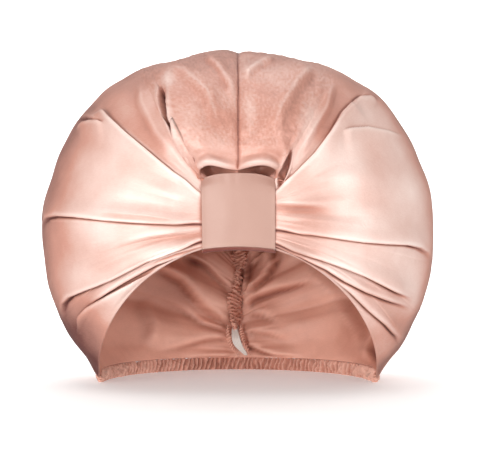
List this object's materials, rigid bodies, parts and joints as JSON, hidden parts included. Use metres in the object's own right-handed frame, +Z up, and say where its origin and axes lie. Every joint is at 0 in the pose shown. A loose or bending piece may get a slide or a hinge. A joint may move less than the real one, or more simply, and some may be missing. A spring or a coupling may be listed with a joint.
{
  "type": "sleep bonnet",
  "caption": "Satin sleep bonnet shaped like a puffed turban: two folded cloth panels gathered under a flat front tab, open for the face and head, with a ruched back casing and an elastic hem",
  "frame": {"origin": "middle of the head opening, level with the lower edge of the hem: the mount head_opening", "axes": "+X the viewer's right seen from the front (the wearer's left), +Y from the face to the back of the head, +Z up; the face opening and the tab look along -Y"},
  "size_m": [0.2977, 0.2235, 0.2523],
  "materials": {
    "crown_satin": "glossy satin, dusty rose",
    "tab_satin": "smooth satin, dusty rose",
    "casing_satin": "the duller reverse of the satin, gathered",
    "elastic": "matte woven elastic, white"
  },
  "bodies": {
    "root": {"crown_right": "crown_satin", "crown_left": "crown_satin", "front_tab": "tab_satin", "hem_casing": "casing_satin", "back_casing": "casing_satin", "elastic_tape": "elastic"}
  },
  "joints": []
}
